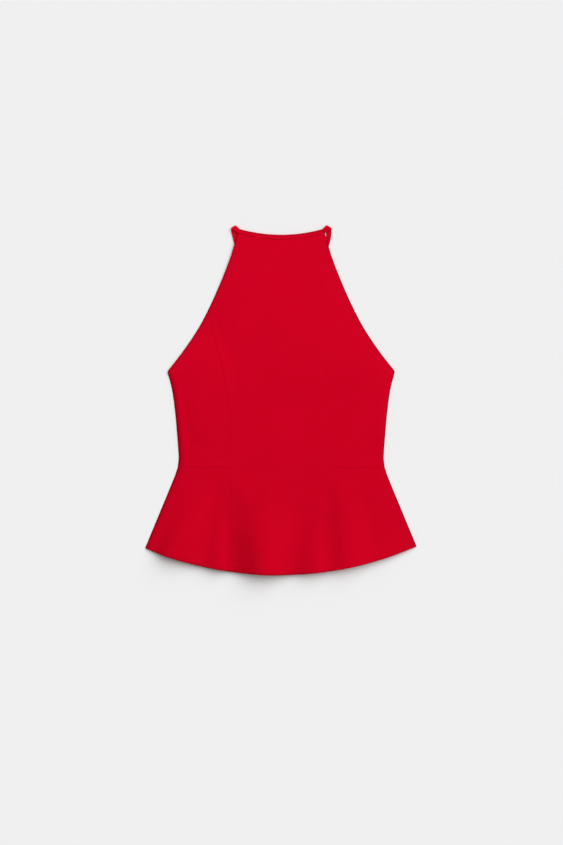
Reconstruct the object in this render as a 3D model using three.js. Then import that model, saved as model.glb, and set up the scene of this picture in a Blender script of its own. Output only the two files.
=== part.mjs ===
// A halter-neck peplum top laid flat on its back, front up, at real size.
// Millimetres, +Z up, neck towards +Y. z = 0 is the surface it lies on, and x = 0 is its centre line.

import * as THREE from 'three';

const { clamp, degToRad, lerp, smoothstep } = THREE.MathUtils;

// Cloth
const CLOTH = 1.5; // one layer of the doubled crepe knit
const BAND_THICKNESS = 2.1; // the neck band, folded over the edge
const GAP = 0.3; // between pieces that are sewn together or lie on each other
const HALF_GAP = GAP / 2;
const LAYER = CLOTH + GAP; // underside of a front panel where it lies on the back

// Levels along the length
const NECK_Y = 283.6; // neckline at the centre
const SEAM_START_Y = 152.3; // where the princess seams leave the armholes
const SIDE_TIP_Y = 150.5; // the point of a side panel, blunt
const UNDERARM_Y = 49;
const BACK_TOP_Y = 45; // top edge of the back between the underarms
const WAIST_Y = -115.4;
const FOLDS_START_Y = -140; // the folds of the peplum spread sideways from here to the hem
const HEM_Y = -300; // hem at the centre

// Neckline: a shallow arc that rises towards the neck corners, with a band of even width
const NECK_CORNER = { x: 70.6, rise: 9.6 };
const BAND_WIDTH = 8;
const BAND_FOOT_X = 74.6; // end of the band's lower edge, on the armhole

// Hem: a circular arc from corner to corner that hangs a little lower on the left
const HEM_CORNER = { half: 233, y: -252.6 };
const HEM_DROP = HEM_CORNER.y - HEM_Y;
const HEM_RADIUS = (HEM_CORNER.half ** 2 + HEM_DROP ** 2) / (2 * HEM_DROP);
const HEM_TILT = 0.008;
const BACK_SHORTER = 2; // the back's hem stays this far inside the front's
const BACK_INSET = 0.6; // and its sides this far

// Half width of the outline at each height: the armhole, then the side seam down to the waist
const ARMHOLE = [
  { y: 288, half: 74.2 },
  { y: 267, half: 80.4 },
  { y: 246.4, half: 86.6 },
  { y: 205.2, half: 102.5 },
  { y: 164, half: 120.8 },
  { y: 122.8, half: 142.3 },
  { y: 81.6, half: 169.9 },
  { y: UNDERARM_Y, half: 195.3 },
];
const SIDE_SEAM = [
  { y: UNDERARM_Y, half: 195.3 },
  { y: 19.8, half: 187.7 },
  { y: -21.4, half: 181.9 },
  { y: -62.6, half: 178.3 },
  { y: -100, half: 175.8 },
  { y: WAIST_Y, half: 176.2 },
];

// Distance of a princess seam from the centre line, and where each one meets the hem
const PRINCESS_SEAM = [
  { y: SEAM_START_Y, half: 126.6 },
  { y: 106.9, half: 115.6 },
  { y: 64, half: 103.5 },
  { y: 21, half: 94.6 },
  { y: -21.9, half: 89.4 },
  { y: -65, half: 87.3 },
  { y: WAIST_Y, half: 87 },
];
const SEAM_AT_HEM = { left: 90.5, right: 104 };

// Folds of the front peplum from left to right, crests and the hollows between them. Each rises from
// a height top to the hem, where it lifts the cloth by lift, and runs from x = start to x = hem.
const FOLDS = [
  { name: 'left side seam', top: -190, start: -184, hem: -248, lift: 0.4 },
  { name: 'left foot', top: -190, start: -177, hem: -238, lift: 2 },
  { name: 'left diagonal crest', top: -130, start: -116, hem: -216, lift: 18.5 },
  { name: 'hollow', top: -158, start: -110, hem: -136, lift: 6 },
  { name: 'narrow crest', top: -167, start: -102, hem: -111, lift: 10 },
  { name: 'hollow', top: -130, start: -95, hem: -85, lift: 3 },
  { name: 'large crest', top: -124, start: -37, hem: -29, lift: 19 },
  { name: 'hollow', top: -140, start: 38, hem: 21, lift: 5.2 },
  { name: 'middle crest', top: -157, start: 63, hem: 59, lift: 12 },
  { name: 'hollow', top: -160, start: 76, hem: 82, lift: 9 },
  { name: 'right crest', top: -124, start: 102, hem: 118, lift: 14.4 },
  { name: 'right slope', top: -176, start: 147, hem: 175, lift: 9 },
  { name: 'right side seam', top: -130, start: 186, hem: 250, lift: 0.8 },
];
const FOLD_GROWTH = 1.35; // above 1, a fold rises faster towards the hem

// Straps: narrow flat tubes that fold over above the neck corners and run down behind the front.
// The first row of a run is where the fold starts, the last is sewn to the back's top edge.
// crease is half the length of the crease across the flattened fold.
const STRAP = { halfWidth: 3.8, halfThickness: 1, bendRadius: 1.4, rootHeight: 3.4, creaseAngle: -33 };
const STRAP_END_Y = BACK_TOP_Y + GAP;
const STRAPS = [
  {
    name: 'strap_left',
    side: -1,
    crease: 4.8,
    run: [
      { y: 296, half: 80.7 },
      { y: 288, half: 81 },
      { y: 277, half: 78.6 },
      { y: 262, half: 75 },
      { y: 150, half: 62 },
      { y: STRAP_END_Y, half: 52 },
    ],
  },
  {
    name: 'strap_right',
    side: 1,
    crease: 5.3,
    run: [
      { y: 296, half: 80.7 },
      { y: 288, half: 81.8 },
      { y: 277, half: 80.6 },
      { y: 262, half: 76.8 },
      { y: 150, half: 62 },
      { y: STRAP_END_Y, half: 52 },
    ],
  },
];
const STRAP_LIFT = 2 * STRAP.halfThickness + 0.4; // underside of the front where it lies on a strap
// The front stays up between the straps. It comes down from flat to reach outside them, and below their ends.
const STRAP_TENT = { flat: 4, reach: 50, fade: 60 };

// Levels where the front comes down from the back's top edge to the surface
const STEP_DOWN = { from: BACK_TOP_Y + 10, to: BACK_TOP_Y + 72 };

// Grids: cells across and down each stretch of a piece
const CENTRE_GRID = { across: 22, chest: 9, body: 13, peplum: 16 };
const SIDE_GRID = { across: 7, armhole: 7, seam: 8 };
const PEPLUM_GRID = { across: 14, down: 14 };
const BACK_GRID = { across: 12, down: 9 };
const BAND_CELLS = 26;
const STRAP_GRID = { root: 2, bend: 7, run: 16, turning: 3, crowding: 1.7 };

// Smooth curve through the rows of a table, read at a height
function profile(rows) {
  const sorted = [...rows].sort((a, b) => a.y - b.y);
  const heights = sorted.map((row) => row.y);
  const halves = sorted.map((row) => row.half);
  const spline = new THREE.CubicInterpolant(heights, halves, 1, [0]);
  return (y) => spline.evaluate(y)[0];
}

const armhole = profile(ARMHOLE);
const sideSeam = profile(SIDE_SEAM);
const princessSeam = profile(PRINCESS_SEAM);
const strapRuns = STRAPS.map((strap) => profile(strap.run));

// Half width of the whole outline
function outline(y) {
  if (y > UNDERARM_Y) return armhole(y);
  if (y > WAIST_Y) return sideSeam(y);
  return lerp(sideSeam(WAIST_Y), HEM_CORNER.half, (WAIST_Y - y) / (WAIST_Y - HEM_CORNER.y));
}

// Distance of the left or right princess seam from the centre line, down to the hem
function seam(y, side) {
  if (y > WAIST_Y) return princessSeam(y);
  const atHem = side < 0 ? SEAM_AT_HEM.left : SEAM_AT_HEM.right;
  return lerp(princessSeam(WAIST_Y), atHem, (WAIST_Y - y) / (WAIST_Y - HEM_Y));
}

// Half width of the centre panel: the armhole down to where its princess seam starts, then the seam
function centreHalf(y, side) {
  return y > SEAM_START_Y ? armhole(y) : seam(y, side) - HALF_GAP;
}

function neckline(x) {
  const along = Math.min(Math.abs(x), BAND_FOOT_X) / NECK_CORNER.x;
  return NECK_Y + NECK_CORNER.rise * along ** 2;
}

function hem(x) {
  return HEM_Y + HEM_RADIUS - Math.sqrt(HEM_RADIUS ** 2 - x ** 2) + HEM_TILT * x;
}

// Height of a front panel's underside before the folds: on the back, on the straps or on the surface
function restHeight(x, y) {
  const onBack = LAYER * (1 - smoothstep(y, STEP_DOWN.from, STEP_DOWN.to));
  const strapRun = strapRuns[x < 0 ? 0 : 1];
  const outside = Math.abs(x) - strapRun(y);
  const tent = 1 - smoothstep(outside, STRAP_TENT.flat, STRAP_TENT.reach);
  const pastEnd = smoothstep(y, STRAP_END_Y - STRAP_TENT.fade, STRAP_END_Y - STRAP_TENT.flat);
  return Math.max(onBack, STRAP_LIFT * tent * pastEnd);
}

// Lift of the peplum's folds: a smooth wave through the crests and hollows, growing towards the hem
function foldLift(x, y) {
  const spread = clamp((FOLDS_START_Y - y) / (FOLDS_START_Y - HEM_Y), 0, 1);
  const places = FOLDS.map((fold) => lerp(fold.start, fold.hem, spread));
  const risen = (fold) => clamp((fold.top - y) / (fold.top - HEM_Y), 0, 1) ** FOLD_GROWTH;
  const lifts = FOLDS.map((fold) => fold.lift * risen(fold));
  const beyond = places.filter((place) => place <= x).length;
  const next = clamp(beyond, 1, FOLDS.length - 1);
  const between = clamp((x - places[next - 1]) / (places[next] - places[next - 1]), 0, 1);
  const wave = (1 - Math.cos(Math.PI * between)) / 2;
  return lerp(lifts[next - 1], lifts[next], wave);
}

function frontHeight(x, y) {
  return restHeight(x, y) + foldLift(x, y);
}

// Even steps from one level to another, without the first
function steps(from, to, count) {
  return Array.from({ length: count }, (_, i) => lerp(from, to, (i + 1) / count));
}

// Point of a panel, from its four edge curves: left and right at a height, top and bottom at an x
function panelPoint(edges, across, down) {
  const PASSES = 8;
  let x = 0;
  let y = lerp(edges.top(0), edges.bottom(0), down);
  for (let pass = 0; pass < PASSES; pass++) {
    x = lerp(edges.left(y), edges.right(y), across);
    y = lerp(edges.top(x), edges.bottom(x), down);
  }
  return { x, y };
}

// Closed wall over a grid of points, rows running down and columns to the right
function wall(lower, upper) {
  const columns = lower[0].length;
  const rows = lower.length;
  const under = (row, column) => row * columns + column;
  const over = (row, column) => rows * columns + under(row, column);
  const faces = [];
  const quad = (a, b, c, d) => faces.push(a, b, c, a, c, d);
  for (let r = 0; r < rows - 1; r++) {
    for (let c = 0; c < columns - 1; c++) {
      quad(over(r, c), over(r + 1, c), over(r + 1, c + 1), over(r, c + 1));
      quad(under(r, c), under(r, c + 1), under(r + 1, c + 1), under(r + 1, c));
    }
  }
  const last = { row: rows - 1, column: columns - 1 };
  for (let c = 0; c < last.column; c++) {
    quad(under(0, c), over(0, c), over(0, c + 1), under(0, c + 1));
    quad(under(last.row, c + 1), over(last.row, c + 1), over(last.row, c), under(last.row, c));
  }
  for (let r = 0; r < last.row; r++) {
    quad(under(r + 1, 0), over(r + 1, 0), over(r, 0), under(r, 0));
    quad(under(r, last.column), over(r, last.column), over(r + 1, last.column), under(r + 1, last.column));
  }
  return solid([...lower.flat(), ...upper.flat()], faces);
}

function solid(points, faces) {
  const geometry = new THREE.BufferGeometry().setFromPoints(points);
  geometry.setIndex(faces);
  geometry.computeVertexNormals();
  return geometry;
}

// A panel of cloth between its edge curves, at a height that its own function gives
function panel(edges, height, columns, levels) {
  const grid = (offset) =>
    levels.map((down) =>
      Array.from({ length: columns + 1 }, (_, i) => {
        const { x, y } = panelPoint(edges, i / columns, down);
        return new THREE.Vector3(x, y, height(x, y) + offset);
      }),
    );
  return wall(grid(0), grid(CLOTH));
}

// Front panel between the princess seams, in one piece from the neck band to the hem
function frontCentre() {
  const edges = {
    left: (y) => -centreHalf(y, -1),
    right: (y) => centreHalf(y, 1),
    top: (x) => neckline(x) - BAND_WIDTH - GAP,
    bottom: hem,
  };
  const levelOf = (x, y) => (edges.top(x) - y) / (edges.top(x) - edges.bottom(x));
  const corner = levelOf(armhole(SEAM_START_Y), SEAM_START_Y);
  const waist = levelOf(0, WAIST_Y);
  const levels = [
    0,
    ...steps(0, corner, CENTRE_GRID.chest),
    ...steps(corner, waist, CENTRE_GRID.body),
    ...steps(waist, 1, CENTRE_GRID.peplum),
  ];
  return panel(edges, frontHeight, CENTRE_GRID.across, levels);
}

// Left and right edges of a piece that lies beside the centre panel, from its inner and outer curves
function sideEdges(side, inner, outer) {
  const edge = (half) => (y) => side * half(y);
  return side < 0 ? { left: edge(outer), right: edge(inner) } : { left: edge(inner), right: edge(outer) };
}

// Side front panel: from the armhole to the waist seam
function frontSide(side) {
  const bottomY = WAIST_Y + HALF_GAP;
  const inner = (y) => seam(y, side) + HALF_GAP;
  const edges = { ...sideEdges(side, inner, outline), top: () => SIDE_TIP_Y, bottom: () => bottomY };
  const underarm = (SIDE_TIP_Y - UNDERARM_Y) / (SIDE_TIP_Y - bottomY);
  const levels = [0, ...steps(0, underarm, SIDE_GRID.armhole), ...steps(underarm, 1, SIDE_GRID.seam)];
  return panel(edges, frontHeight, SIDE_GRID.across, levels);
}

// Flared piece of the front below the waist seam
function frontPeplum(side) {
  const inner = (y) => seam(y, side) + HALF_GAP;
  const edges = { ...sideEdges(side, inner, outline), top: () => WAIST_Y - HALF_GAP, bottom: hem };
  return panel(edges, frontHeight, PEPLUM_GRID.across, [0, ...steps(0, 1, PEPLUM_GRID.down)]);
}

// Back panels: flat on the surface, a little inside the front's outline
function backPanel(top, bottom) {
  const half = (y) => outline(y) - BACK_INSET;
  const edges = { left: (y) => -half(y), right: half, top, bottom };
  return panel(edges, () => 0, BACK_GRID.across, [0, ...steps(0, 1, BACK_GRID.down)]);
}

// Neck band: follows the neckline, its ends cut slantwise where the straps carry on
function neckBand() {
  const lower = [[], []];
  const upper = [[], []];
  for (let i = 0; i <= BAND_CELLS; i++) {
    const along = lerp(-1, 1, i / BAND_CELLS);
    const topX = along * NECK_CORNER.x;
    const footX = along * BAND_FOOT_X;
    const points = [
      { x: topX, y: neckline(topX) },
      { x: footX, y: neckline(footX) - BAND_WIDTH },
    ];
    points.forEach(({ x, y }, row) => {
      const z = restHeight(x, y);
      lower[row].push(new THREE.Vector3(x, y, z));
      upper[row].push(new THREE.Vector3(x, y, z + BAND_THICKNESS));
    });
  }
  return wall(lower, upper);
}

// Cross sections of a strap, mirrored to the right: centre, half width and half thickness as vectors
function strapSections(strap) {
  const { halfWidth, halfThickness, bendRadius, rootHeight } = STRAP;
  const run = profile(strap.run);
  const head = new THREE.Vector2(NECK_CORNER.x, neckline(NECK_CORNER.x));
  const foot = new THREE.Vector2(BAND_FOOT_X, neckline(BAND_FOOT_X) - BAND_WIDTH);
  const cut = foot.clone().sub(head).normalize();
  const outwards = new THREE.Vector2(-cut.y, cut.x);
  const root = head.clone().lerp(foot, 0.5).addScaledVector(outwards, GAP);
  const fold = new THREE.Vector2(strap.run[0].half, strap.run[0].y);
  const crease = new THREE.Vector2(1, 0).rotateAround(new THREE.Vector2(), degToRad(STRAP.creaseAngle));
  const away = new THREE.Vector2(-crease.y, crease.x);
  const creaseAcross = crease.clone().multiplyScalar(strap.crease);

  const section = (x, y, z, across, thick) => ({
    centre: new THREE.Vector3(x, y, z),
    across: new THREE.Vector3(across.x, across.y, 0),
    thick: thick.multiplyScalar(halfThickness),
  });
  const up = () => new THREE.Vector3(0, 0, 1);
  const topZ = halfThickness + 2 * bendRadius;

  // The rising part, from the cut end of the neck band
  const sections = [0, ...steps(0, 1, STRAP_GRID.root)].slice(0, -1).map((along) => {
    const at = root.clone().lerp(fold, along);
    const across = cut.clone().multiplyScalar(halfWidth).lerp(creaseAcross, along);
    return section(at.x, at.y, lerp(rootHeight, topZ, along), across, up());
  });
  // Half a turn round the crease
  for (let i = 0; i <= STRAP_GRID.bend; i++) {
    const turn = (Math.PI * i) / STRAP_GRID.bend;
    const at = fold.clone().addScaledVector(away, bendRadius * Math.sin(turn));
    const thick = new THREE.Vector3(away.x * Math.sin(turn), away.y * Math.sin(turn), Math.cos(turn));
    const z = halfThickness + bendRadius * (1 + Math.cos(turn));
    sections.push(section(at.x, at.y, z, creaseAcross, thick));
  }
  // The run on the surface behind the front, its sections closer together near the fold
  for (const along of steps(0, 1, STRAP_GRID.run)) {
    const y = lerp(fold.y, STRAP_END_Y, along ** STRAP_GRID.crowding);
    const ahead = run(y) - run(y + 1);
    const square = new THREE.Vector2(1, along < 1 ? ahead : 0).setLength(halfWidth);
    const turned = smoothstep(along, 0, STRAP_GRID.turning / STRAP_GRID.run);
    const across = creaseAcross.clone().lerp(square, turned);
    sections.push(section(run(y), y, halfThickness, across, up().negate()));
  }
  return sections;
}

// Strap solid: a flat tube with pointed sides along its sections
function strapSolid(strap) {
  const CORNERS = [
    { wide: -1, thick: 0 },
    { wide: -0.8, thick: -1 },
    { wide: 0.8, thick: -1 },
    { wide: 1, thick: 0 },
    { wide: 0.8, thick: 1 },
    { wide: -0.8, thick: 1 },
  ];
  const rings = strapSections(strap).map(({ centre, across, thick }) =>
    CORNERS.map((corner) => {
      const point = centre.clone().addScaledVector(across, corner.wide).addScaledVector(thick, corner.thick);
      point.x *= strap.side;
      return point;
    }),
  );
  const count = CORNERS.length;
  const faces = [];
  const face = (a, b, c) => (strap.side < 0 ? faces.push(a, b, c) : faces.push(a, c, b));
  for (let ring = 0; ring < rings.length - 1; ring++) {
    for (let i = 0; i < count; i++) {
      const a = ring * count + i;
      const b = ring * count + ((i + 1) % count);
      face(a, b, b + count);
      face(a, b + count, a + count);
    }
  }
  const end = (rings.length - 1) * count;
  for (let i = 1; i < count - 1; i++) {
    face(0, i + 1, i);
    face(end, end + i, end + i + 1);
  }
  return solid(rings.flat(), faces);
}

const crepe = new THREE.MeshStandardMaterial({ color: 0xcb0021, roughness: 0.85, metalness: 0 });

const top = new THREE.Group();

function piece(name, geometry) {
  const mesh = new THREE.Mesh(geometry, crepe);
  mesh.name = name;
  top.add(mesh);
}

piece('front_centre', frontCentre());
piece('front_side_left', frontSide(-1));
piece('front_side_right', frontSide(1));
piece('front_peplum_left', frontPeplum(-1));
piece('front_peplum_right', frontPeplum(1));
piece('neck_band', neckBand());
for (const strap of STRAPS) {
  piece(strap.name, strapSolid(strap));
}
piece('back_bodice', backPanel(() => BACK_TOP_Y, () => WAIST_Y + HALF_GAP));
piece('back_peplum', backPanel(() => WAIST_Y - HALF_GAP, (x) => hem(x) + BACK_SHORTER));

export default top;
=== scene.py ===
"""A halter-neck peplum top in thick crepe knit, laid flat on its back, front up, on a pale floor.

The cloth is worked out in millimetres, neck towards +Y and +Z up, and becomes metres in its meshes.
"""

import math
from collections import namedtuple

import bpy
import numpy as np
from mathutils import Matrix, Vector


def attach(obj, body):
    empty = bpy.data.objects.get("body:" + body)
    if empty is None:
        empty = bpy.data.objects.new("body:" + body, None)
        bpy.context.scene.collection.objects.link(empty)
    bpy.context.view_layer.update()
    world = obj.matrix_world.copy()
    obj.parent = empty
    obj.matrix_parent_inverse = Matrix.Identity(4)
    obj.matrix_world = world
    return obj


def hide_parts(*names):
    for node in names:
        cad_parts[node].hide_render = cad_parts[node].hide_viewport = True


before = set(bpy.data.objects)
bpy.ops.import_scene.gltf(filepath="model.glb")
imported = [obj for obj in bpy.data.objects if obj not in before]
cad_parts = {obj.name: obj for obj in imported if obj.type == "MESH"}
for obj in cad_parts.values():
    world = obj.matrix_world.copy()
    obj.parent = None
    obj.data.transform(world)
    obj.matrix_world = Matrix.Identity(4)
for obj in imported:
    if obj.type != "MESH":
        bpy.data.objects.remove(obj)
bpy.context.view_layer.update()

MM = 0.001
SIDES = (-1, 1)  # left and right, as the front is seen from above

# Cloth
CLOTH = 1.5
BAND_THICKNESS = 2.1
SOLID_GAP = 0.3
LAYER = CLOTH + SOLID_GAP

# Levels along the length
NECK_Y = 283.6
SEAM_START_Y = 152.3
SIDE_TIP_Y = 150.5
UNDERARM_Y = 49
BACK_TOP_Y = 45
WAIST_Y = -115.4
FOLDS_START_Y = -140
HEM_Y = -300

# Neckline, hem and the back's place inside the front
NECK_CORNER_X = 70.6
NECK_RISE = 9.6
BAND_WIDTH = 8
BAND_FOOT_X = 74.6
HEM_CORNER_X = 233
HEM_CORNER_Y = -252.6
HEM_DROP = HEM_CORNER_Y - HEM_Y
HEM_RADIUS = (HEM_CORNER_X**2 + HEM_DROP**2) / (2 * HEM_DROP)
HEM_TILT = 0.008
BACK_SHORTER = 2
BACK_INSET = 3

# Half width of the outline and of the princess seams, as (height, half width)
ARMHOLE = [
    (288, 74.2), (267, 80.4), (246.4, 86.6), (205.2, 102.5), (164, 120.8), (122.8, 142.3), (81.6, 169.9),
    (UNDERARM_Y, 195.3),
]
SIDE_SEAM = [
    (UNDERARM_Y, 195.3), (19.8, 187.7), (-21.4, 181.9), (-62.6, 178.3), (-100, 175.8), (WAIST_Y, 176.2),
]
PRINCESS_SEAM = [
    (SEAM_START_Y, 126.6), (106.9, 115.6), (64, 103.5), (21, 94.6), (-21.9, 89.4), (-65, 87.3), (WAIST_Y, 87),
]
SEAM_AT_HEM = {-1: 90.5, 1: 104}
UNDERARM_ROUNDING, UNDERARM_REACH = 0.3, 4  # how far the underarm is drawn in, and over what length
WAIST_ROUNDING, WAIST_REACH = 1.3, 10  # how far the waist is filled out, and over what length

# Folds of the front peplum from left to right. Each rises from a height top to the hem, where it
# lifts the cloth by lift, and runs from x = start to x = hem.
Fold = namedtuple("Fold", "name top start hem lift")
FOLDS = [
    Fold("left side seam", -190, -184, -248, 0.4),
    Fold("left foot", -190, -177, -238, 2),
    Fold("left diagonal crest", -130, -116, -216, 18.5),
    Fold("hollow", -158, -110, -136, 6),
    Fold("narrow crest", -167, -102, -111, 10),
    Fold("hollow", -130, -95, -85, 3),
    Fold("large crest", -124, -37, -29, 19),
    Fold("hollow", -140, 38, 21, 5.2),
    Fold("middle crest", -157, 63, 59, 12),
    Fold("hollow", -160, 76, 82, 9),
    Fold("right crest", -124, 102, 118, 14.4),
    Fold("right slope", -176, 147, 175, 9),
    Fold("right side seam", -130, 186, 250, 0.8),
]
FOLD_GROWTH = 1.35  # above 1, a fold rises faster towards the hem
BACK_FOLD_SHARE = 0.2  # the back's folds are this much of the front's

# Soft creases of the front: from one end to the other, with half their width and their rise
Crease = namedtuple("Crease", "name x0 y0 x1 y1 wide rise")
CREASES = [
    Crease("left underarm drag", -176, 30, -112, -6, 9, -0.15),
    Crease("left bust", -140, 66, -122, 104, 8, 0.1),
    Crease("left waist fold", -160, -88, -108, -96, 8, 0.2),
    Crease("left waist hollow", -156, -60, -126, -92, 13, -0.35),
    Crease("right underarm drag", 178, 34, 128, 8, 10, -0.15),
    Crease("right waist fold", 108, -84, 162, -92, 9, 0.2),
    Crease("left side puff", -184, 34, -171, -100, 9, 1.3),
    Crease("left side hollow", -168, 24, -158, -96, 11, -0.7),
    Crease("right side puff", 185, 36, 177, -96, 25, 2.5),
    Crease("centre waist rise", -40, -156, 26, -156, 26, 1.3),
    Crease("head of the large fold", -72, -136, -58, -190, 20, 1.3),
    Crease("hollow beside the large fold", 10, -136, 4, -190, 26, -0.9),
    Crease("chest", -34, 176, 22, 204, 22, 0.2),
]
CREASE_FADE = (-0.25, 0.35)  # a crease grows between these shares of its length, and ends likewise

# Lift of the bodice by air and seam allowances
DOME = 2
DOME_SQUARENESS = 10  # the higher, the nearer to the side seams the lift stays whole
DOME_AT_HEM = 0.5  # share of the lift that is left at the hem
DOME_WHOLE_Y = WAIST_Y + 40

# Rounded edges and the seams
RIM = 0.7  # over this distance from an edge, the two sides of the cloth close
PAINTED_SHADE_REACH = 2  # width of the painted shade along an edge
SEAM_TUCK = 0.2  # one edge of a seam lies this far under the other, so that no light shows through
SEAM_ROLL, SEAM_RIM, SEAM_PAINTED_SHADE = 2.4, 0.945, 0.055  # a seam's border, as the borders below; its painted shade darkens the colour along the seam
SEAM_ALLOWANCE = 9  # width of the turned edges beside a seam
WAIST_RISE = 0.18  # rise of the cloth over the allowances of the waist seam
PRINCESS_RISE = {-1: 0.2, 1: 0.1}  # and over those of the princess seams
PRINCESS_RISE_AT_WAIST = 0.4  # share of that rise at the waist
PRINCESS_RISE_GROWS = (-30, 60)  # heights between which it grows to the whole
PRINCESS_RISE_ENDS = (SEAM_START_Y - 15, SEAM_START_Y)  # and between which it ends
SIDE_ROLL = {-1: 10, 1: 3.2}  # width of the front's roll over each side seam
SIDE_ROLL_ENDS = (UNDERARM_Y - 14, UNDERARM_Y + 3)  # heights between which that roll ends
SIDE_FOOT = 0.5  # height of the side seams above the floor
UNDER_BAND_RIM = (0.89, 0.96)  # share of the front's thickness under the neck band, mid front and at its ends
BAND_FOOT_RIM = (0.87, 0.95)  # the same along the neck band's lower edge

# Turned edges and their stitching
TURNED = (0.7, 1.2)  # turned cloth thins out between these shares of its width
ARMHOLE_STITCH = 7  # the armholes' stitching is this far inside their edge
ARMHOLE_TURN_RISE = 0.12
ARMHOLE_TURN_STARTS = (UNDERARM_Y, UNDERARM_Y + 12)
ARMHOLE_ROW = (UNDERARM_Y + 3, NECK_Y - 5, 160)  # first and last height of the row, and its points
HEM_STITCH = 17  # the hem's stitching is this far above its edge
HEM_TURN = HEM_STITCH + 3
HEM_TURN_RISE = 0.35
HEM_GROOVE, HEM_GROOVE_WIDTH = 0.28, 0.8  # the hem's stitches pull the cloth in
HEM_ROW = (5 - HEM_CORNER_X, HEM_CORNER_X - 5, 400)  # first and last place of the row, and its points
HEM_ROW_INSET = 2.5  # the row ends this far inside the side seams
BAND_STITCH = 6.8  # the neck band's stitching is this far below the neckline
BAND_ROW = (-0.985, 0.985, 200)  # first and last share of the band's half length, and its points
BAND_PUCKER, BAND_PUCKER_WIDTH = 0.06, 1.2
RIPPLE_LENGTH, RIPPLE_SWAY, SWAY_LENGTH = 1.7, 1.3, 9  # the pucker's ripple; lengths are over 2 pi
STITCH_PITCH, STITCH_LENGTH, THREAD_WIDTH = 3, 2.3, 0.45

# Straps. crease is half the length of a strap's crease, and spread how much wider it lies beside its fold.
STRAP_HALF_WIDTH = 3.8
STRAP_HALF_THICKNESS = 1
STRAP_BEND_RADIUS = 1.4
STRAP_ROOT_HEIGHT = 3.4
STRAP_CREASE_ANGLE = -33
STRAP_END_Y = BACK_TOP_Y + SOLID_GAP
Strap = namedtuple("Strap", "name side crease spread run")
LEFT_RUN = [(295.7, 81.3), (288, 80.4), (277, 77.7), (262, 74.5), (150, 62), (STRAP_END_Y, 52)]
RIGHT_RUN = [(295.7, 81.2), (288, 81.9), (277, 80.7), (262, 76.8), (150, 62), (STRAP_END_Y, 52)]
STRAPS = [Strap("strap_left", -1, 5.5, 1.26, LEFT_RUN), Strap("strap_right", 1, 5.9, 1.13, RIGHT_RUN)]
BEND_NARROWING = 0.16  # a strap is this share narrower at the middle of its bend
SPREAD_ENDS = (0.3, 0.6)  # between these shares of its run, a strap narrows to its own width
TURNS_SQUARE = 3 / 16  # by this share of its run, it lies square to it
RISE_SECTIONS, BEND_SECTIONS, RUN_SECTIONS = 8, 15, 70
RUN_CROWDING = 1.7  # above 1, a run's sections are closer near the fold
STRAP_CORNERS, STRAP_SIDE_POWER, STRAP_FACE_POWER = 20, 0.5, 0.75  # powers under 1 square off its section

# The front lies over the straps like a tent. It is flat up to a first distance beside them, reaches the
# floor by a second, and fades along the back by a third.
STRAP_CLEARANCE = 0.4
STRAP_LIFT = 2 * STRAP_HALF_THICKNESS + STRAP_CLEARANCE
STRAP_TENT_FLAT, STRAP_TENT_REACH, STRAP_TENT_FADE = 4, 66, 150
STEP_DOWN_FROM, STEP_DOWN_TO = BACK_TOP_Y + 6, BACK_TOP_Y + 104  # it comes down from the back between these

# Grid lines: distances from an edge in mm, and the step between them elsewhere
STEP = 3.2
BAND_STEP = 2
FINE_LINES = (0, 0.4, 1, 2)
SEAM_LINES = (0, 0.25, 0.6, 1.1, 1.9, 3.2, 5.4, 8, 10)
EDGE_LINES = (0, 0.15, 0.4, 0.8, 1.4, 2.3, 3.5, 5, 6.3, 7, 7.7, 9.2)
SIDE_LINES = (0, 0.2, 0.6, 1.2, 2.2, 3.6, 5.4, 7.6, 10.2)
HEM_LINES = (0, 0.2, 0.5, 1, 1.8, 3, 5, 7.5, 10, 12.5, 14.6, 16, 16.7, 17.3, 18, 19.2, 21.4)
BAND_LINES = (0, 0.15, 0.4, 0.9, 1.7, 2.8, 4, 5.2, 6.2, 6.9, 7.4, 7.75, BAND_WIDTH)
CENTRE_WIDTH, SIDE_WIDTH, PEPLUM_WIDTH, BACK_WIDTH, PEPLUM_LENGTH = 200, 88, 120, 370, 165  # on average
SIDE_TIP_SPARE = 0.9  # the side panel's grid starts this far above its tip
SETTLING_ROUNDS = 14  # a grid's x and y agree after this many rounds

# Colours of the cloth and of its sewing thread, as (tone, colour) from the deepest to the lightest
# The cloth's ramp is driven by the dye's uneven tone, by painted light towards the neck and by painted shade
# along the edges; its deepest red shows mostly where that painted shade falls.
CLOTH_REDS = [(0, (0.27, 0, 0.0065, 1)), (0.25, (0.534, 0, 0.0125, 1)), (0.85, (0.654, 0, 0.0165, 1))]
THREAD_REDS = [(0, (0.4, 0, 0.009, 1)), (1, (0.58, 0, 0.014, 1))]
SHEEN_RED = (0.9, 0.005, 0.03, 1)
FLOOR_GREY = (0.86, 0.86, 0.86, 1)
PAINTED_LIGHT_DRIFT = (0.03, 0.72, 0)  # painted light: the colour is lighter towards the neck and a little towards the right, per metre
EDGE_PAINTED_SHADE = -0.9  # painted shade: the colour is darkened where the cloth turns at an edge and along the seams

# Light, floor and camera
TOWARDS_LIGHT = (0.62, 0.68, 1)
LIGHT_ENERGY, LIGHT_SPREAD, SKY_STRENGTH = 3.015, 70, 0.307
FLOOR_HALF, FLOOR_Z = 9000, -0.2
LENS, SENSOR = 100, 36
FRAME_HEIGHT, FRAME_X, FRAME_Y = 1450.6, 0.5, -38.5  # what the camera frames, and the middle of it


def lerp(a, b, share):
    return a + (b - a) * share


def smoothstep(value, start, end):
    share = np.clip((value - start) / (end - start), 0, 1)
    return share * share * (3 - 2 * share)


def bell(distance, reach):
    return np.exp(-((distance / reach) ** 2))


def rounded(distance, width):
    """From 0 on an edge to 1 at width from it, along a quarter of an ellipse."""
    return np.sqrt(1 - (1 - np.clip(distance / width, 0, 1)) ** 2)


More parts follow.
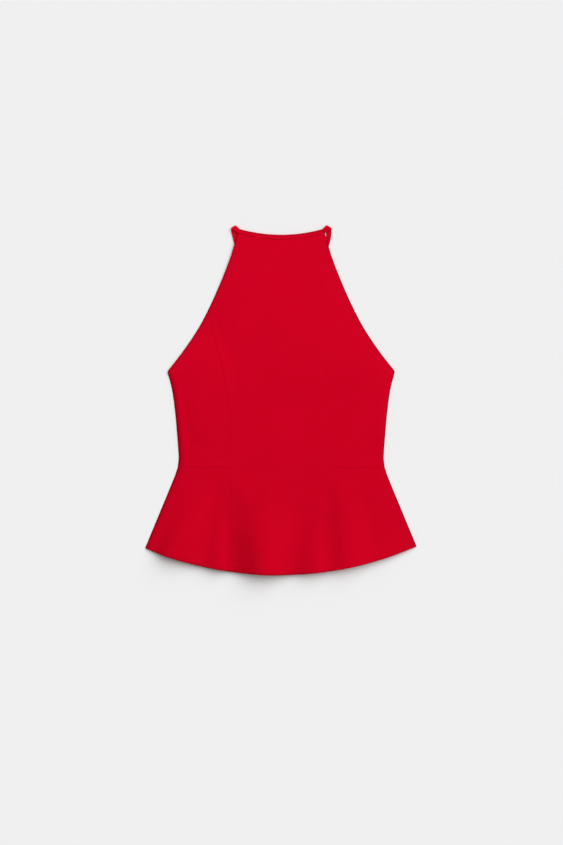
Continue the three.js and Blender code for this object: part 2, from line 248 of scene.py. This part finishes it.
def profile(rows):
    """Smooth curve through (height, value) rows; its slope at a row is the mean of the slopes beside it."""
    heights, values = np.array(sorted(rows), float).T
    secants = np.diff(values) / np.diff(heights)
    slopes = np.concatenate([secants[:1], (secants[1:] + secants[:-1]) / 2, secants[-1:]])

    def at(y):
        y = np.clip(y, heights[0], heights[-1])
        i = np.clip(np.searchsorted(heights, y) - 1, 0, len(secants) - 1)
        step = heights[i + 1] - heights[i]
        p = (y - heights[i]) / step
        start = values[i] * (1 + 2 * p) * (1 - p) ** 2 + slopes[i] * step * p * (1 - p) ** 2
        return start + values[i + 1] * p**2 * (3 - 2 * p) - slopes[i + 1] * step * p**2 * (1 - p)

    return at


armhole = profile(ARMHOLE)
side_seam = profile(SIDE_SEAM)
princess_seam = profile(PRINCESS_SEAM)
strap_runs = {strap.side: profile(strap.run) for strap in STRAPS}


# Curves of the pattern


def outline(y):
    """Half width of the whole top, a little rounded at the underarm and the waist."""
    peplum = lerp(side_seam(WAIST_Y), HEM_CORNER_X, (WAIST_Y - y) / (WAIST_Y - HEM_CORNER_Y))
    half = np.where(y > UNDERARM_Y, armhole(y), np.where(y > WAIST_Y, side_seam(y), peplum))
    drawn_in = UNDERARM_ROUNDING * bell(y - UNDERARM_Y, UNDERARM_REACH)
    return half - drawn_in + WAIST_ROUNDING * bell(y - WAIST_Y, WAIST_REACH)


def seam(y, side):
    """Distance of a princess seam from the centre line, down to the hem."""
    below = lerp(princess_seam(WAIST_Y), SEAM_AT_HEM[side], (WAIST_Y - y) / (WAIST_Y - HEM_Y))
    return np.where(y > WAIST_Y, princess_seam(y), below)


def centre_half(y, side):
    return np.where(y > SEAM_START_Y, armhole(y), seam(y, side))


def neckline(x):
    return NECK_Y + NECK_RISE * (np.minimum(np.abs(x), BAND_FOOT_X) / NECK_CORNER_X) ** 2


def hem(x):
    return HEM_Y + HEM_RADIUS - np.sqrt(HEM_RADIUS**2 - np.square(x)) + HEM_TILT * x


def level(height):
    """Straight edge across the top at this height."""
    return lambda x: np.full(np.shape(x), float(height))


def square_to(curve, y):
    """Turns a distance across the top into one square to a curve's edge."""
    slope = (curve(y + 1) - curve(y - 1)) / 2
    return 1 / np.sqrt(1 + slope**2)


# Heights of the front


def rest_height(x, y):
    """Underside of the front before its folds: on the back, on the straps or on the floor."""
    on_back = LAYER * (1 - smoothstep(y, STEP_DOWN_FROM, STEP_DOWN_TO))
    run = np.where(x < 0, strap_runs[-1](y), strap_runs[1](y))
    tent = 1 - smoothstep(np.abs(x) - run, STRAP_TENT_FLAT, STRAP_TENT_REACH)
    past_end = smoothstep(y, STRAP_END_Y - STRAP_TENT_FADE, STRAP_END_Y - STRAP_TENT_FLAT)
    return np.maximum(on_back, STRAP_LIFT * tent * past_end)


def fold_lift(x, y):
    """Lift of the peplum's folds: a wave through crests and hollows that grows towards the hem."""
    x, y = np.broadcast_arrays(np.asarray(x, float), np.asarray(y, float))
    spread = np.clip((FOLDS_START_Y - y) / (FOLDS_START_Y - HEM_Y), 0, 1)
    places = np.stack([lerp(fold.start, fold.hem, spread) for fold in FOLDS])
    risen = [np.clip((fold.top - y) / (fold.top - HEM_Y), 0, 1) ** FOLD_GROWTH for fold in FOLDS]
    lifts = np.stack([fold.lift * share for fold, share in zip(FOLDS, risen)])
    after = np.clip((places <= x).sum(0), 1, len(FOLDS) - 1)
    pick = lambda rows, i: np.take_along_axis(rows, i[None], 0)[0]
    before_x, after_x = pick(places, after - 1), pick(places, after)
    between = np.clip((x - before_x) / (after_x - before_x), 0, 1)
    wave = (1 - np.cos(math.pi * between)) / 2
    return lerp(pick(lifts, after - 1), pick(lifts, after), wave)


def crease_rise(x, y):
    """Rise of the front's listed creases, soft across and fading at both ends."""
    total = np.zeros(np.broadcast(x, y).shape)
    for crease in CREASES:
        along_x, along_y = crease.x1 - crease.x0, crease.y1 - crease.y0
        length = math.hypot(along_x, along_y)
        along = ((x - crease.x0) * along_x + (y - crease.y0) * along_y) / length**2
        across = ((x - crease.x0) * along_y - (y - crease.y0) * along_x) / length
        ends = smoothstep(along, *CREASE_FADE) * smoothstep(1 - along, *CREASE_FADE)
        total += crease.rise * ends * bell(across, crease.wide)
    return total


def dome(x, y):
    """Soft height of the bodice, where air and seam allowances lie between its layers."""
    across = np.clip(1 - (x / outline(y)) ** DOME_SQUARENESS, 0, 1)
    along = lerp(DOME_AT_HEM, 1, smoothstep(y, HEM_Y, DOME_WHOLE_Y)) * (1 - smoothstep(y, UNDERARM_Y, NECK_Y))
    return DOME * across * along


def relief(x, y):
    return crease_rise(x, y) + dome(x, y)


def near_edge(distance, width):
    """1 along an edge, over the cloth that is turned under there, and 0 further in."""
    return 1 - smoothstep(distance / width, *TURNED)


def front_top(x, y):
    """Upper side of the front, before its seams and edges round it off."""
    armhole_inside = (outline(y) - np.abs(x)) * square_to(outline, y)
    turned = near_edge(armhole_inside, ARMHOLE_STITCH) * smoothstep(y, *ARMHOLE_TURN_STARTS)
    hem_inside = y - hem(x)
    edges = ARMHOLE_TURN_RISE * turned + HEM_TURN_RISE * near_edge(hem_inside, HEM_TURN)
    groove = HEM_GROOVE * bell(hem_inside - HEM_STITCH, HEM_GROOVE_WIDTH)
    return rest_height(x, y) + fold_lift(x, y) + relief(x, y) + CLOTH + edges - groove


def princess_rise(inside, y, side):
    """Rise of the centre panel over the seam allowances beside it."""
    grown = lerp(PRINCESS_RISE_AT_WAIST, 1, smoothstep(y, *PRINCESS_RISE_GROWS))
    ended = smoothstep(y, *PRINCESS_RISE_ENDS)
    return PRINCESS_RISE[side] * near_edge(inside, SEAM_ALLOWANCE) * grown * (1 - ended)


def side_rolled(x, y, high, side):
    """Brings the front down to its side seam near the floor, in a soft roll."""
    inside = np.maximum(outline(y) - side * x, 0) * square_to(outline, y)
    share = 1 - (1 - np.clip(inside / SIDE_ROLL[side], 0, 1)) ** 2
    sewn = 1 - smoothstep(y, *SIDE_ROLL_ENDS)
    return lerp(high, SIDE_FOOT + (high - SIDE_FOOT) * share, sewn)


def on_front(x, y):
    """Points on the front's upper side."""
    high = front_top(x, y)
    for side in SIDES:
        inside = seam(y, side) - side * x
        sewn = high + np.where(inside > 0, princess_rise(inside, y, side), 0)
        high = np.where(side * x > 0, side_rolled(x, y, sewn, side), high)
    return np.stack([x, y, high], -1)


# Borders of a piece: distance from the edge, width of its rounding, share of the cloth's thickness that
# is left on it, how strongly painted shade darkens its colour, and how far that painted shade reaches
Border = namedtuple("Border", "distance roll rim tone reach", defaults=[0, PAINTED_SHADE_REACH])


def outer_border(side):
    def distance(x, y):
        return (outline(y) - side * x) * square_to(outline, y)

    # Painted shade darkens the outer edges most.
    return Border(distance, roll=2.6, rim=0.35, tone=1)


def sewn_border(distance):
    return Border(distance, SEAM_ROLL, SEAM_RIM, SEAM_PAINTED_SHADE)


def princess_border(side, from_centre):
    """Edge along a princess seam, of the centre panel or of the piece beside it."""
    curve = lambda y: seam(y, side)

    def distance(x, y):
        inside = curve(y) - side * x if from_centre else side * x - curve(y)
        return inside * square_to(curve, y)

    return sewn_border(distance)


HEM_BORDER = Border(lambda x, y: y - hem(x), roll=1.6, rim=0.45, tone=0.25)


def only_where(border, within):
    """The same border, at the heights where within(y) holds."""
    return border._replace(distance=lambda x, y: np.where(within(y), border.distance(x, y), np.inf))


def cloth_wall(x, y, base, thickness, borders):
    """Upper side of a piece, its thickness and the painted shade along its edges, where it closes in a rim.
    """
    upper = np.ones(x.shape)
    nearest = np.full(x.shape, np.inf)
    tone = np.zeros(x.shape)
    for border in borders:
        distance = np.maximum(border.distance(x, y), 0)
        upper = np.minimum(upper, lerp(border.rim, 1, rounded(distance, border.roll)))
        # Painted shade: the colour is darkened close to the edges and seams.
        tone = np.maximum(tone, border.tone * bell(distance, border.reach))
        nearest = np.minimum(nearest, distance)
    return base + thickness * upper, thickness * upper * rounded(nearest, RIM), tone


# Grids


def grid_lines(near, far, length, step=STEP, stop=None):
    """Shares and insets of grid lines: close beside both edges, even between, one on the stop."""
    near, far = np.array(near, float), np.array(far, float)
    inner = length - near[-1] - far[-1]
    share = np.linspace(0, 1, max(2, round(inner / step)) + 1)[1:-1]
    if stop is not None:
        share[np.abs(share - (stop - near[-1]) / inner).argmin()] = (stop - near[-1]) / inner
    shares = np.concatenate([np.zeros(len(near)), share, np.ones(len(far))])
    insets = np.concatenate([near, lerp(near[-1], -far[-1], share), -far[::-1]])
    return shares, insets


def panel_points(left, right, top, bottom, columns, rows):
    """Grid of a panel between its four edge curves: x and y of every point, rows running down."""
    column_share, column_inset = (line[None, :] for line in columns)
    row_share, row_inset = (line[:, None] for line in rows)
    x = np.zeros((row_share.size, column_share.size))
    y = lerp(top(x), bottom(x), row_share) - row_inset
    for _ in range(SETTLING_ROUNDS):
        x = lerp(left(y), right(y), column_share) + column_inset
        y = lerp(top(x), bottom(x), row_share) - row_inset
    return x, y


def beside(side, inner, outer):
    """Puts what belongs to the inner and the outer edge of a piece in order from left to right."""
    return (inner, outer) if side > 0 else (outer, inner)


def side_edges(side):
    """Left and right edge curves of a piece between a princess seam and the outline."""
    return beside(side, lambda y: side * (seam(y, side) - SEAM_TUCK), lambda y: side * outline(y))


# Materials


def link(tree, *pairs):
    for source, target in pairs:
        tree.links.new(source, target)


def set_inputs(node, settings):
    for socket, value in settings.items():
        node.inputs[socket].default_value = value


def new_material(name, settings):
    """Material with these settings of its shader, and the shader."""
    material = bpy.data.materials.new(name)
    material.use_nodes = True
    shader = material.node_tree.nodes["Principled BSDF"]
    set_inputs(shader, settings)
    return material, shader


def colour_ramp(tree, stops):
    """Ramp through (tone, colour) stops."""
    ramp = tree.nodes.new("ShaderNodeValToRGB")
    elements = ramp.color_ramp.elements
    elements[0].position, elements[0].color = stops[0]
    elements[1].position, elements[1].color = stops[-1]
    for tone, colour in stops[1:-1]:
        elements.new(tone).color = colour
    return ramp


def crepe_knit():
    """Matte red crepe knit: pebbled grain in narrow wales, uneven dye, painted light towards the neck and
    painted shade along the turned edges and seams.
    """
    material, shader = new_material("crepe_knit", {
        "Roughness": 0.9, "Specular IOR Level": 0.02,
        "Sheen Weight": 0.05, "Sheen Roughness": 0.5, "Sheen Tint": SHEEN_RED,
    })
    tree = material.node_tree
    place = tree.nodes.new("ShaderNodeTexCoord").outputs["Object"]

    def noise(scale, detail):
        node = tree.nodes.new("ShaderNodeTexNoise")
        set_inputs(node, {"Scale": scale, "Detail": detail})
        link(tree, (place, node.inputs["Vector"]))
        return node.outputs["Fac"]

    def mixed(first, second, share):
        node = tree.nodes.new("ShaderNodeMix")
        set_inputs(node, {"Factor": share})
        link(tree, (first, node.inputs["A"]), (second, node.inputs["B"]))
        return node.outputs["Result"]

    def added(base, extra, factor):
        node = tree.nodes.new("ShaderNodeMath")
        node.operation = "MULTIPLY_ADD"
        set_inputs(node, {1: factor})
        link(tree, (extra, node.inputs[0]), (base, node.inputs[2]))
        return node.outputs[0]

    wales = tree.nodes.new("ShaderNodeTexWave")
    wales.bands_direction = "X"
    set_inputs(wales, {"Scale": 330, "Distortion": 3, "Detail": 2, "Detail Scale": 2})
    # Painted light: the colour is lightened towards the neck, and a little towards the right, where more
    # light falls.
    painted_light = tree.nodes.new("ShaderNodeVectorMath")
    painted_light.operation = "DOT_PRODUCT"
    set_inputs(painted_light, {1: PAINTED_LIGHT_DRIFT})
    # Painted shade along the edges and seams, read from the mesh.
    edge = tree.nodes.new("ShaderNodeAttribute")
    edge.attribute_name = "painted_edge_shade"
    link(tree, (place, wales.inputs["Vector"]), (place, painted_light.inputs[0]))

    grain = mixed(noise(scale=1500, detail=4), wales.outputs["Fac"], share=0.35)
    flecked = mixed(grain, noise(scale=420, detail=3), share=0.5)
    dye = mixed(flecked, noise(scale=9, detail=2), share=0.4)
    # The dye's uneven tone, lightened by painted light and darkened by painted shade.
    dye_and_painted_light = added(dye, painted_light.outputs["Value"], factor=1)
    tone = added(dye_and_painted_light, edge.outputs["Fac"], factor=EDGE_PAINTED_SHADE)
    ramp = colour_ramp(tree, CLOTH_REDS)
    bump = tree.nodes.new("ShaderNodeBump")
    set_inputs(bump, {"Strength": 0.35, "Distance": 0.00012})
    link(
        tree,
        (tone, ramp.inputs["Fac"]),
        (ramp.outputs["Color"], shader.inputs["Base Color"]),
        (grain, bump.inputs["Height"]),
        (bump.outputs["Normal"], shader.inputs["Normal"]),
    )
    return material


def polyester_thread():
    """Sewing thread in the cloth's red, twisted and a little glossier."""
    material, shader = new_material("polyester_thread", {"Roughness": 0.55, "Specular IOR Level": 0.1})
    tree = material.node_tree
    twist = tree.nodes.new("ShaderNodeTexWave")
    twist.bands_direction = "DIAGONAL"
    set_inputs(twist, {"Scale": 900})
    place = tree.nodes.new("ShaderNodeTexCoord")
    ramp = colour_ramp(tree, THREAD_REDS)
    link(
        tree,
        (place.outputs["Object"], twist.inputs["Vector"]),
        (twist.outputs["Fac"], ramp.inputs["Fac"]),
        (ramp.outputs["Color"], shader.inputs["Base Color"]),
    )
    return material


def pale_floor():
    return new_material("pale_floor", {"Base Color": FLOOR_GREY, "Roughness": 1, "Specular IOR Level": 0})[0]


CREPE = crepe_knit()
THREAD = polyester_thread()


# Meshes


def mesh_object(name, points, faces, material):
    mesh = bpy.data.meshes.new(name)
    mesh.from_pydata((np.asarray(points) * MM).tolist(), [], faces)
    mesh.polygons.foreach_set("use_smooth", [True] * len(mesh.polygons))
    mesh.materials.append(material)
    mesh.update()
    piece = bpy.data.objects.new(name, mesh)
    bpy.context.scene.collection.objects.link(piece)
    return piece


def shell(name, x, y, high, thickness, tone):
    """Closed cloth between two surfaces over one grid that share their border."""
    rows, columns = x.shape
    over = np.arange(rows * columns).reshape(rows, columns)
    under = over.copy()
    inner = (slice(1, -1), slice(1, -1))
    under[inner] = rows * columns + np.arange((rows - 2) * (columns - 2)).reshape(rows - 2, columns - 2)
    upper = np.stack([x, y, high], -1).reshape(-1, 3)
    lower = np.stack([x[inner], y[inner], np.maximum(high - thickness, 0)[inner]], -1).reshape(-1, 3)

    def quads(index, facing_up):
        corners = [index[:-1, :-1], index[1:, :-1], index[1:, 1:], index[:-1, 1:]]
        return np.stack(corners if facing_up else corners[::-1], -1).reshape(-1, 4).tolist()

    piece = mesh_object(name, np.vstack([upper, lower]), quads(over, True) + quads(under, False), CREPE)
    # Painted shade: how much each point's colour is darkened near the edges and seams, none on the underside.
    painted_shades = np.concatenate([tone.ravel(), np.zeros(len(lower))])
    piece.data.attributes.new("painted_edge_shade", "FLOAT", "POINT").data.foreach_set("value", painted_shades)
    return piece


# Pieces of the front


def front_piece(name, x, y, top, borders, rolled_sides=()):
    high, thickness, tone = cloth_wall(x, y, top - CLOTH, CLOTH, borders)
    for side in rolled_sides:
        high = side_rolled(x, y, high, side)
    return shell(name, x, y, high, thickness, tone)


def front_centre():
    """Front panel between the princess seams, in one piece from the neck band to the hem."""
    left = lambda y: -centre_half(y, -1)
    right = lambda y: centre_half(y, 1)
    top = lambda x: neckline(x) - BAND_WIDTH + SEAM_TUCK
    length = float(top(0) - hem(0))
    corner = float(top(armhole(SEAM_START_Y)) - SEAM_START_Y)
    rows = grid_lines(SEAM_LINES, HEM_LINES, length, stop=corner)
    x, y = panel_points(left, right, top, hem, grid_lines(EDGE_LINES, EDGE_LINES, CENTRE_WIDTH), rows)
    band_rim = lerp(*UNDER_BAND_RIM, np.minimum(np.abs(x) / BAND_FOOT_X, 1))
    borders = [Border(lambda x, y: top(x) - y, roll=1.8, rim=band_rim, tone=0.08), HEM_BORDER]
    height = front_top(x, y)
    for side in SIDES:
        sewn = princess_border(side, from_centre=True)
        borders.append(only_where(outer_border(side), lambda y: y > SEAM_START_Y))
        borders.append(only_where(sewn, lambda y: y <= SEAM_START_Y))
        height = height + princess_rise(sewn.distance(x, y), y, side)
    return front_piece("front_centre_cloth", x, y, height, borders)


def front_side(side, label):
    """Side front panel, from the armhole to the waist seam, narrowing to a point at the top."""
    left, right = side_edges(side)
    rows = grid_lines(FINE_LINES, SEAM_LINES, SIDE_TIP_Y - WAIST_Y, stop=SIDE_TIP_Y - UNDERARM_Y)
    shares, insets = grid_lines(*beside(side, SEAM_LINES, SIDE_LINES), SIDE_WIDTH)
    columns = shares + insets / SIDE_WIDTH, np.zeros(len(shares))
    x, y = panel_points(left, right, level(SIDE_TIP_Y + SIDE_TIP_SPARE), level(WAIST_Y), columns, rows)
    borders = [
        princess_border(side, from_centre=False),
        outer_border(side),
        sewn_border(lambda x, y: y - WAIST_Y),
    ]
    height = front_top(x, y) + WAIST_RISE * near_edge(y - WAIST_Y, SEAM_ALLOWANCE)
    return front_piece(f"front_side_{label}_cloth", x, y, height, borders, rolled_sides=[side])


def front_peplum(side, label):
    """Flared piece of the front below the waist seam."""
    left, right = side_edges(side)
    top_y = WAIST_Y + SEAM_TUCK
    rows = grid_lines(SEAM_LINES, HEM_LINES, PEPLUM_LENGTH)
    columns = grid_lines(*beside(side, SEAM_LINES, SIDE_LINES), PEPLUM_WIDTH)
    x, y = panel_points(left, right, level(top_y), hem, columns, rows)
    borders = [
        princess_border(side, from_centre=False),
        outer_border(side),
        sewn_border(lambda x, y: top_y - y),
        HEM_BORDER,
    ]
    return front_piece(f"front_peplum_{label}_cloth", x, y, front_top(x, y), borders, rolled_sides=[side])


# Neck band


def band_point(along, across):
    """Point of the neck band, from -1 to 1 along it and in millimetres down from the neckline."""
    top_x, foot_x = along * NECK_CORNER_X, along * BAND_FOOT_X
    down = across / BAND_WIDTH
    return lerp(top_x, foot_x, down), lerp(neckline(top_x), neckline(foot_x) - BAND_WIDTH, down)


def pucker(x, across):
    """Slight, uneven ripple of the neck band along its stitches."""
    ripple = np.sin(x / RIPPLE_LENGTH + RIPPLE_SWAY * np.sin(x / SWAY_LENGTH))
    return BAND_PUCKER * ripple * bell(across - BAND_STITCH, BAND_PUCKER_WIDTH)


def neck_band():
    """Folded band along the neckline, its ends cut slantwise where the straps carry on."""
    share, inset = grid_lines(FINE_LINES, FINE_LINES, 2 * NECK_CORNER_X, BAND_STEP)
    along = (-1 + 2 * share + inset / NECK_CORNER_X)[None, :]
    across = np.array(BAND_LINES)[:, None]
    x, y = band_point(along, across)
    along_end = np.broadcast_to((1 - np.abs(along)) * NECK_CORNER_X, x.shape)
    across = np.broadcast_to(across, x.shape)
    foot_rim = lerp(*BAND_FOOT_RIM, np.abs(along))
    borders = [
        Border(lambda x, y: across, roll=1.8, rim=0.4, tone=1),
        Border(lambda x, y: BAND_WIDTH - across, roll=1.4, rim=foot_rim, tone=0.06),
        Border(lambda x, y: along_end, roll=0.8, rim=0.6),
    ]
    base = rest_height(x, y) + relief(x, y) + pucker(x, across)
    return shell("neck_band_cloth", x, y, *cloth_wall(x, y, base, BAND_THICKNESS, borders))


# Back


def back_panel(name, top, bottom, length):
    """Back panel, flat on the floor a little inside the front's outline, with low folds in its peplum."""
    half = lambda y: outline(y) - BACK_INSET
    left = lambda y: -half(y)
    columns = grid_lines(SIDE_LINES, SIDE_LINES, BACK_WIDTH)
    x, y = panel_points(left, half, top, bottom, columns, grid_lines(SEAM_LINES, SEAM_LINES, length))
    nearest = lambda x, y: np.minimum.reduce([half(y) - np.abs(x), top(x) - y, y - bottom(x)])
    borders = [Border(nearest, roll=1.6, rim=0.3, tone=0.5, reach=1.7)]
    return shell(name, x, y, *cloth_wall(x, y, BACK_FOLD_SHARE * fold_lift(x, y), CLOTH, borders))


def back_bodice():
    return back_panel("back_bodice_cloth", level(BACK_TOP_Y), level(WAIST_Y), BACK_TOP_Y - WAIST_Y)


def back_peplum():
    return back_panel("back_peplum_cloth", level(WAIST_Y), lambda x: hem(x) + BACK_SHORTER, PEPLUM_LENGTH)


# Straps


def strap_sections(strap):
    """Centres, half widths and half thicknesses of a strap's sections, as vectors, on the right side."""
    run = profile(strap.run)
    head = np.array([NECK_CORNER_X, float(neckline(NECK_CORNER_X))])
    foot = np.array([BAND_FOOT_X, float(neckline(BAND_FOOT_X)) - BAND_WIDTH])
    cut = (foot - head) / np.linalg.norm(foot - head)
    root = lerp(head, foot, 0.5)
    fold = np.array([strap.run[0][1], strap.run[0][0]], float)
    angle = math.radians(STRAP_CREASE_ANGLE)
    crease = np.array([math.cos(angle), math.sin(angle)]) * strap.crease
    away = np.array([-math.sin(angle), math.cos(angle)])
    top_z = STRAP_HALF_THICKNESS + 2 * STRAP_BEND_RADIUS
    sections = []

    def add(at, z, across, thick):
        sections.append((np.array([*at, z]), np.array([*across, 0]), np.array(thick) * STRAP_HALF_THICKNESS))

    for along in np.linspace(0, 1, RISE_SECTIONS, endpoint=False):
        add(lerp(root, fold, along), lerp(STRAP_ROOT_HEIGHT, top_z, smoothstep(along, 0, 1)),
            lerp(cut * STRAP_HALF_WIDTH, crease, along), (0, 0, 1))
    for turn in np.linspace(0, math.pi, BEND_SECTIONS):
        at = fold + away * STRAP_BEND_RADIUS * math.sin(turn)
        narrower = 1 - BEND_NARROWING * math.sin(turn) ** 2
        add(at, STRAP_HALF_THICKNESS + STRAP_BEND_RADIUS * (1 + math.cos(turn)), crease * narrower,
            (away[0] * math.sin(turn), away[1] * math.sin(turn), math.cos(turn)))
    for along in np.linspace(0, 1, RUN_SECTIONS + 1)[1:]:
        y = lerp(fold[1], STRAP_END_Y, along**RUN_CROWDING)
        square = np.array([1, float(run(y) - run(y + 1)) if along < 1 else 0], float)
        half_width = STRAP_HALF_WIDTH * lerp(strap.spread, 1, smoothstep(along, *SPREAD_ENDS))
        square *= half_width / np.linalg.norm(square)
        across = lerp(crease, square, smoothstep(along, 0, TURNS_SQUARE))
        add((float(run(y)), y), STRAP_HALF_THICKNESS, across, (0, 0, -1))
    return sections


def strap_piece(strap):
    """Narrow flat tube with rounded sides, folded over above the neck corner."""
    angles = np.arange(STRAP_CORNERS) * 2 * math.pi / STRAP_CORNERS
    wide = np.sign(np.cos(angles)) * np.abs(np.cos(angles)) ** STRAP_SIDE_POWER
    thick = np.sign(np.sin(angles)) * np.abs(np.sin(angles)) ** STRAP_FACE_POWER
    rings = [
        centre + np.outer(wide, across) + np.outer(thick, up) for centre, across, up in strap_sections(strap)
    ]
    points = np.vstack(rings) * [strap.side, 1, 1]
    faces = []
    for ring in range(len(rings) - 1):
        for i in range(STRAP_CORNERS):
            a, b = ring * STRAP_CORNERS + i, ring * STRAP_CORNERS + (i + 1) % STRAP_CORNERS
            faces.append([a, b, b + STRAP_CORNERS, a + STRAP_CORNERS])
    last = (len(rings) - 1) * STRAP_CORNERS
    faces.append(list(range(STRAP_CORNERS))[::-1])
    faces.append([last + i for i in range(STRAP_CORNERS)])
    if strap.side > 0:
        faces = [face[::-1] for face in faces]
    return mesh_object(f"{strap.name}_cloth", points, faces, CREPE)


# Stitches


def stitch_tree():
    """Node tree that sews stitches along the edges of a mesh, at even steps."""
    tree = bpy.data.node_groups.new("stitches", "GeometryNodeTree")
    tree.interface.new_socket("Seams", in_out="INPUT", socket_type="NodeSocketGeometry")
    for size in ("Pitch", "Length", "Width"):
        tree.interface.new_socket(size, in_out="INPUT", socket_type="NodeSocketFloat")
    tree.interface.new_socket("Stitches", in_out="OUTPUT", socket_type="NodeSocketGeometry")
    add = tree.nodes.new
    given, made = add("NodeGroupInput"), add("NodeGroupOutput")
    curve, steps = add("GeometryNodeMeshToCurve"), add("GeometryNodeResampleCurve")
    steps.mode = "LENGTH"
    thread, size = add("GeometryNodeMeshUVSphere"), add("ShaderNodeCombineXYZ")
    set_inputs(thread, {"Segments": 6, "Rings": 5, "Radius": 0.5})
    shaped, sewn = add("GeometryNodeTransform"), add("GeometryNodeInstanceOnPoints")
    tangent, turn = add("GeometryNodeInputTangent"), add("FunctionNodeAlignRotationToVector")
    real, red = add("GeometryNodeRealizeInstances"), add("GeometryNodeSetMaterial")
    set_inputs(red, {"Material": THREAD})
    link(
        tree,
        (given.outputs["Seams"], curve.inputs["Mesh"]),
        (curve.outputs["Curve"], steps.inputs["Curve"]),
        (given.outputs["Pitch"], steps.inputs["Length"]),
        (given.outputs["Width"], size.inputs["X"]),
        (given.outputs["Width"], size.inputs["Y"]),
        (given.outputs["Length"], size.inputs["Z"]),
        (thread.outputs["Mesh"], shaped.inputs["Geometry"]),
        (size.outputs["Vector"], shaped.inputs["Scale"]),
        (tangent.outputs["Tangent"], turn.inputs["Vector"]),
        (steps.outputs["Curve"], sewn.inputs["Points"]),
        (shaped.outputs["Geometry"], sewn.inputs["Instance"]),
        (turn.outputs["Rotation"], sewn.inputs["Rotation"]),
        (sewn.outputs["Instances"], real.inputs["Geometry"]),
        (real.outputs["Geometry"], red.inputs["Geometry"]),
        (red.outputs["Geometry"], made.inputs["Stitches"]),
    )
    return tree


def stitches(name, rows):
    """Stitches along rows of points in millimetres."""
    ends = np.cumsum([len(row) for row in rows])
    edges = [(i, i + 1) for i in range(ends[-1] - 1) if i + 1 not in ends]
    guide = bpy.data.meshes.new(f"{name}_guide")
    guide.from_pydata((np.vstack(rows) * MM).tolist(), edges, [])
    sewn = bpy.data.objects.new(name, guide)
    bpy.context.scene.collection.objects.link(sewn)
    modifier = sewn.modifiers.new("stitches", "NODES")
    modifier.node_group = STITCH_TREE
    sizes = {"Pitch": STITCH_PITCH, "Length": STITCH_LENGTH, "Width": THREAD_WIDTH}
    for socket in STITCH_TREE.interface.items_tree:
        if socket.name in sizes:
            modifier[socket.identifier] = sizes[socket.name] * MM
    graph = bpy.context.evaluated_depsgraph_get()
    mesh = bpy.data.meshes.new_from_object(sewn.evaluated_get(graph))
    sewn.modifiers.remove(modifier)
    sewn.data = mesh
    return sewn


def hem_row():
    x = np.linspace(*HEM_ROW)
    y = hem(x) + HEM_STITCH
    within = np.abs(x) < outline(y) - HEM_ROW_INSET
    return on_front(x[within], y[within])


def armhole_row(side):
    y = np.linspace(*ARMHOLE_ROW)
    slope = (armhole(y + 1) - armhole(y - 1)) / 2
    length = np.sqrt(1 + slope**2)
    return on_front(side * (armhole(y) - ARMHOLE_STITCH / length), y + ARMHOLE_STITCH * slope / length)


def band_row():
    x, y = band_point(np.linspace(*BAND_ROW), BAND_STITCH)
    return np.stack([x, y, rest_height(x, y) + relief(x, y) + BAND_THICKNESS], -1)


# Stage


def studio():
    """Floor, light from all round and a soft sun."""
    corners = [(x * FLOOR_HALF, y * FLOOR_HALF, FLOOR_Z) for x, y in ((-1, -1), (1, -1), (1, 1), (-1, 1))]
    mesh_object("floor", corners, [[0, 1, 2, 3]], pale_floor())
    scene = bpy.context.scene
    scene.view_settings.view_transform = "Standard"
    scene.world = bpy.data.worlds.new("studio")
    scene.world.use_nodes = True
    background = scene.world.node_tree.nodes["Background"]
    set_inputs(background, {"Color": (1, 1, 1, 1), "Strength": SKY_STRENGTH})
    light = bpy.data.lights.new("key", "SUN")
    light.energy = LIGHT_ENERGY
    light.angle = math.radians(LIGHT_SPREAD)
    key = bpy.data.objects.new("key", light)
    key.rotation_euler = Vector(TOWARDS_LIGHT).to_track_quat("Z", "Y").to_euler()
    scene.collection.objects.link(key)


def camera():
    """Straight above, framing what the photograph frames."""
    data = bpy.data.cameras.new("camera")
    data.lens = LENS
    data.sensor_width = SENSOR
    eye = bpy.data.objects.new("camera", data)
    eye.location = (FRAME_X * MM, FRAME_Y * MM, FRAME_HEIGHT * LENS / SENSOR * MM)
    bpy.context.scene.collection.objects.link(eye)
    bpy.context.scene.camera = eye


studio()
camera()

made = {
    "front_centre": front_centre(),
    "front_side_left": front_side(-1, "left"),
    "front_side_right": front_side(1, "right"),
    "front_peplum_left": front_peplum(-1, "left"),
    "front_peplum_right": front_peplum(1, "right"),
    "neck_band": neck_band(),
    "back_bodice": back_bodice(),
    "back_peplum": back_peplum(),
}
for strap in STRAPS:
    made[strap.name] = strap_piece(strap)

STITCH_TREE = stitch_tree()
sewing = {
    "front_centre": stitches("front_stitches", [hem_row(), armhole_row(-1), armhole_row(1)]),
    "neck_band": stitches("neck_band_stitches", [band_row()]),
}
for thread in sewing.values():
    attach(thread, "root")

# Each piece goes under the root, and its part from model.glb is hidden
for node, piece in made.items():
    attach(piece, "root")
    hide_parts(node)
